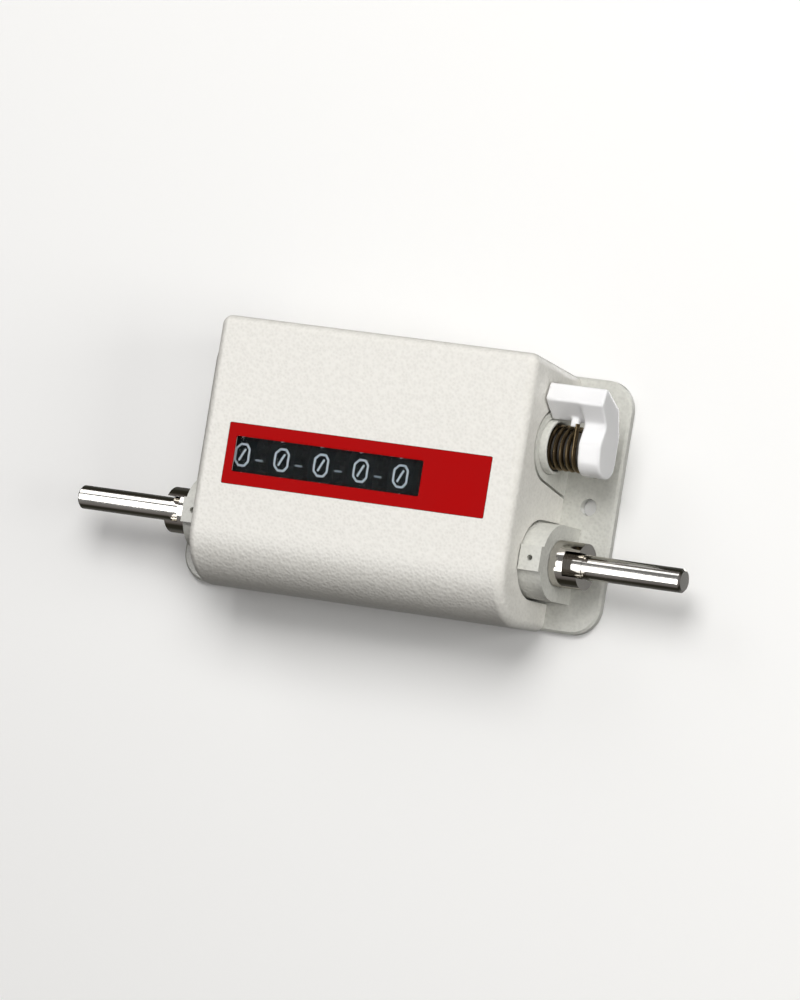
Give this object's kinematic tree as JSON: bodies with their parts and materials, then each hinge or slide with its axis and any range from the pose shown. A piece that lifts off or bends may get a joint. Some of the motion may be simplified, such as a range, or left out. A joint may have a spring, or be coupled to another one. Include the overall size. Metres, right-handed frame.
{
  "type": "revolution counter",
  "caption": "Shop-counter length counter: painted cover with a red-bordered window over number wheels, a through drive shaft with slotted collars, and a sprung reset lever.",
  "frame": {"origin": "midway between the two mounting holes, on the back face of the cast base", "axes": "+X along the input shaft towards the reset lever, +Y up the front face, +Z out of the window"},
  "size_m": [0.1964, 0.0772, 0.0335],
  "materials": {
    "cover_paint": "pale silver-cream hammer finish, semi-gloss",
    "base_paint": "pale grey hammer finish over a cast surface",
    "chrome": "bright plated",
    "plated_steel": "zinc plated, smooth",
    "dark_steel": "turned, lightly oiled",
    "spring_steel": "drawn wire with an oily brown film",
    "bronze": "bored bearing bronze",
    "gear_brass": "machined",
    "wheel_black": "moulded, satin",
    "pinion_plastic": "moulded, natural",
    "lever_white": "moulded, gloss",
    "sleeve_grey": "moulded, satin",
    "mask_red": "red sheet, gloss",
    "window_clear": "clear, polished"
  },
  "bodies": {
    "housing": {"base_casting": "base_paint", "cover": "cover_paint", "cover_screws": "plated_steel", "window_lens": "window_clear", "window_mask": "mask_red", "frame_plate_left": "plated_steel", "frame_plate_right": "plated_steel", "frame_screws": "plated_steel", "wheel_shaft": "dark_steel", "wheel_shaft_clips": "dark_steel", "pinion_shaft": "dark_steel", "bearing_bush_left": "bronze", "bearing_bush_right": "bronze", "reset_spring": "spring_steel"},
    "input": {"input_shaft": "chrome", "shaft_collar_left": "chrome", "shaft_collar_right": "chrome", "collar_pins": "dark_steel", "input_gear": "gear_brass", "gear_pin": "dark_steel"},
    "units_wheel": {"number_wheel_5": "wheel_black", "units_drive_gear": "gear_brass", "drive_pawl": "dark_steel", "pawl_rivet": "dark_steel"},
    "wheel_1": {"number_wheel_1": "wheel_black"},
    "wheel_2": {"number_wheel_2": "wheel_black"},
    "wheel_3": {"number_wheel_3": "wheel_black"},
    "wheel_4": {"number_wheel_4": "wheel_black"},
    "pinion_1": {"transfer_pinion_1": "pinion_plastic"},
    "pinion_2": {"transfer_pinion_2": "pinion_plastic"},
    "pinion_3": {"transfer_pinion_3": "pinion_plastic"},
    "pinion_4": {"transfer_pinion_4": "pinion_plastic"},
    "reset": {"reset_shaft": "plated_steel", "reset_shaft_clip": "dark_steel", "reset_lever": "lever_white", "lever_pin": "dark_steel", "spring_sleeve": "sleeve_grey", "reset_hammer_1": "plated_steel", "reset_hammer_2": "plated_steel", "reset_hammer_3": "plated_steel", "reset_hammer_4": "plated_steel", "reset_hammer_5": "plated_steel"}
  },
  "joints": [
    {"name": "input_spin", "type": "hinge", "parent": "housing", "child": "input", "pos_m": [0, -0.0175, 0.0135], "axis": [1, 0, 0], "continuous": true},
    {"name": "units_spin", "type": "hinge", "parent": "housing", "child": "units_wheel", "pos_m": [0, 0, 0.0182], "axis": [1, 0, 0], "continuous": true},
    {"name": "wheel_4_spin", "type": "hinge", "parent": "housing", "child": "wheel_4", "pos_m": [0, 0, 0.0182], "axis": [1, 0, 0], "continuous": true},
    {"name": "wheel_3_spin", "type": "hinge", "parent": "housing", "child": "wheel_3", "pos_m": [0, 0, 0.0182], "axis": [1, 0, 0], "continuous": true},
    {"name": "wheel_2_spin", "type": "hinge", "parent": "housing", "child": "wheel_2", "pos_m": [0, 0, 0.0182], "axis": [1, 0, 0], "continuous": true},
    {"name": "wheel_1_spin", "type": "hinge", "parent": "housing", "child": "wheel_1", "pos_m": [0, 0, 0.0182], "axis": [1, 0, 0], "continuous": true},
    {"name": "pinion_4_spin", "type": "hinge", "parent": "housing", "child": "pinion_4", "pos_m": [0, -0.01298, 0.0251], "axis": [1, 0, 0], "continuous": true},
    {"name": "pinion_3_spin", "type": "hinge", "parent": "housing", "child": "pinion_3", "pos_m": [0, -0.01298, 0.0251], "axis": [1, 0, 0], "continuous": true},
    {"name": "pinion_2_spin", "type": "hinge", "parent": "housing", "child": "pinion_2", "pos_m": [0, -0.01298, 0.0251], "axis": [1, 0, 0], "continuous": true},
    {"name": "pinion_1_spin", "type": "hinge", "parent": "housing", "child": "pinion_1", "pos_m": [0, -0.01298, 0.0251], "axis": [1, 0, 0], "continuous": true},
    {"name": "reset_turn", "type": "hinge", "parent": "housing", "child": "reset", "pos_m": [0, 0.015, 0.0155], "axis": [1, 0, 0], "range_deg": [0, 50], "stiffness_Nm_per_rad": 0.05, "springref_deg": -20.05, "deforming": ["reset_spring"]}
  ],
  "couplings": [
    {"joint": "units_spin", "follows": "input_spin", "ratio": -1},
    {"joint": "wheel_4_spin", "follows": "input_spin", "ratio": -0.1},
    {"joint": "wheel_3_spin", "follows": "input_spin", "ratio": -0.01},
    {"joint": "wheel_2_spin", "follows": "input_spin", "ratio": -0.001},
    {"joint": "wheel_1_spin", "follows": "input_spin", "ratio": -0.0001},
    {"joint": "pinion_4_spin", "follows": "input_spin", "ratio": 0.25},
    {"joint": "pinion_3_spin", "follows": "input_spin", "ratio": 0.025},
    {"joint": "pinion_2_spin", "follows": "input_spin", "ratio": 0.0025},
    {"joint": "pinion_1_spin", "follows": "input_spin", "ratio": 0.00025}
  ]
}
